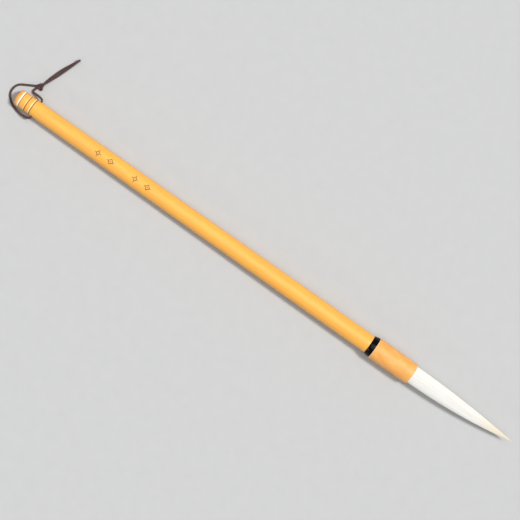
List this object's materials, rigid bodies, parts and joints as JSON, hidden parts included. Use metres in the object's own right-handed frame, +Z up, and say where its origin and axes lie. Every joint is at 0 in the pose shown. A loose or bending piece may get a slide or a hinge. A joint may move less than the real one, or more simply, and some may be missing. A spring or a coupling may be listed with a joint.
{
  "type": "calligraphy brush",
  "caption": "Long lacquered bamboo writing brush with a domed cap, black collar, turned ferrule, pointed white hair tuft and a hanging loop of dark cord.",
  "frame": {"origin": "under the middle of the brush's length, on the ferrule's lowest line, where it touches a table (centre of the box's bottom, cord left out)", "axes": "+X along the brush from the domed cap to the hair's tip, +Z up, +Y to the side on which the hanging loop lies"},
  "size_m": [0.3048, 0.0405, 0.0116],
  "materials": {
    "lacquered_bamboo": "clear gloss lacquer over fine bamboo grain",
    "turned_bamboo": "satin, turned bamboo with soft mottling",
    "black_horn": "polished black horn",
    "brown_stain": "matt brown stain in a groove",
    "engraving_ink": "matt dark ink in engraved strokes",
    "dowel_wood": "plain turned wood",
    "hide_glue": "amber glue film",
    "root_resin": "dark resin",
    "binding_thread": "twisted undyed thread",
    "goat_hair": "straight white hair, combed to a point",
    "waxed_cord": "twisted dark brown cord, lightly waxed"
  },
  "bodies": {
    "handle": {"dome_plug": "turned_bamboo", "bamboo_cane": "lacquered_bamboo", "groove_ink": "brown_stain", "ornament_ink": "engraving_ink", "horn_collar": "black_horn", "spigot": "dowel_wood", "ferrule": "turned_bamboo", "socket_glue": "hide_glue", "root_resin": "root_resin", "root_binding": "binding_thread", "core_hair_root": "goat_hair", "lining_hair_root": "goat_hair", "cover_hair_root": "goat_hair"},
    "cord_legs": {"cord_bail": "waxed_cord", "cord_knot": "waxed_cord"},
    "hanging_loop": {"cord_loop": "waxed_cord"},
    "tuft_belly": {"core_hair_belly": "goat_hair", "lining_hair_belly": "goat_hair", "cover_hair_belly": "goat_hair"},
    "tuft_tip": {"core_hair_tip": "goat_hair", "lining_hair_tip": "goat_hair", "cover_hair_tip": "goat_hair"}
  },
  "joints": [
    {"name": "loop_swing", "type": "hinge", "parent": "handle", "child": "cord_legs", "pos_m": [-0.138, 0, 0.00578], "axis": [0, 1, 0], "range_deg": [0, 140]},
    {"name": "loop_turn", "type": "hinge", "parent": "cord_legs", "child": "hanging_loop", "pos_m": [-0.1433, 0.0103, 0.00278], "axis": [0, 0, 1], "range_deg": [-70, 85]},
    {"name": "tuft_bend", "type": "hinge", "parent": "handle", "child": "tuft_belly", "pos_m": [0.0904, 0, 0.00578], "axis": [0, 0, 1], "range_deg": [-28, 28], "stiffness_Nm_per_rad": 0.006},
    {"name": "tip_bend", "type": "hinge", "parent": "tuft_belly", "child": "tuft_tip", "pos_m": [0.1104, 0, 0.00578], "axis": [0, 0, 1], "range_deg": [-28, 28], "stiffness_Nm_per_rad": 0.003}
  ],
  "couplings": [
    {"joint": "tip_bend", "follows": "tuft_bend", "ratio": 1}
  ]
}
